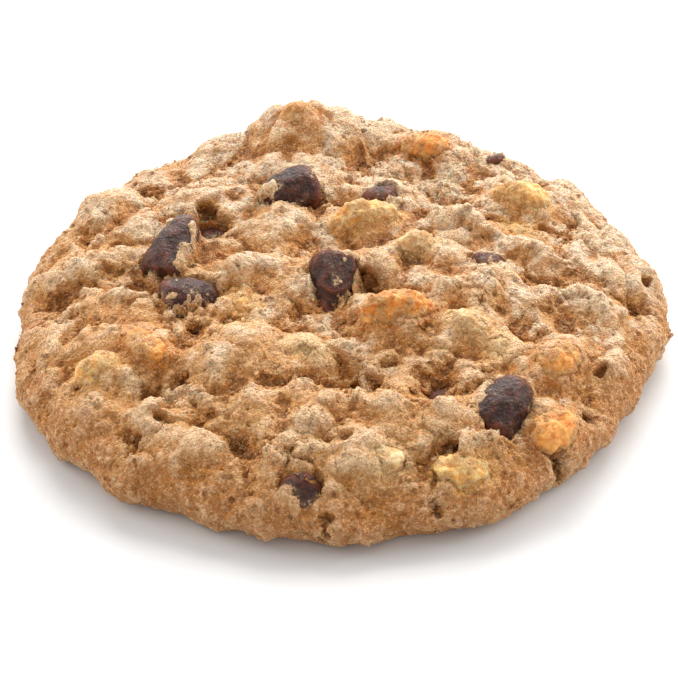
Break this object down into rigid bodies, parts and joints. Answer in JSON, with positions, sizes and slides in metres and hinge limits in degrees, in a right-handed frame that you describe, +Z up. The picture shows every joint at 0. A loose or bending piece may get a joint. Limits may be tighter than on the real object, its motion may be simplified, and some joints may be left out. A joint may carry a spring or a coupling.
{
  "type": "chocolate chip cookie",
  "caption": "Round baked cookie with a broken, craggy crown, dark chocolate chips and chopped nuts set in the crust, and a flat underside.",
  "frame": {"origin": "centre of the cookie's outline on the flat underside", "axes": "+Z up out of the crown, +Y to the far rim with the tall bump, +X to the right seen from the front"},
  "size_m": [0.0879, 0.0885, 0.0164],
  "materials": {
    "dough": "baked, matte and crumbly, pale tan crests with a browner rim",
    "chocolate": "baked dark chocolate, satin, dusted with crumb",
    "nut": "toasted chopped nut, waxy, cream to amber"
  },
  "bodies": {
    "root": {"dough": "dough", "chip_1": "chocolate", "chip_2": "chocolate", "chip_3": "chocolate", "chip_4": "chocolate", "chip_5": "chocolate", "chip_6": "chocolate", "chip_7": "chocolate", "chip_8": "chocolate", "chip_9": "chocolate", "chip_10": "chocolate", "chip_11": "chocolate", "nut_1": "nut", "nut_2": "nut", "nut_3": "nut", "nut_4": "nut", "nut_5": "nut", "nut_6": "nut", "nut_7": "nut", "nut_8": "nut", "nut_9": "nut", "nut_10": "nut", "nut_11": "nut", "nut_12": "nut", "nut_13": "nut", "nut_14": "nut", "nut_15": "nut", "nut_16": "nut", "nut_17": "nut", "nut_18": "nut"}
  },
  "joints": []
}
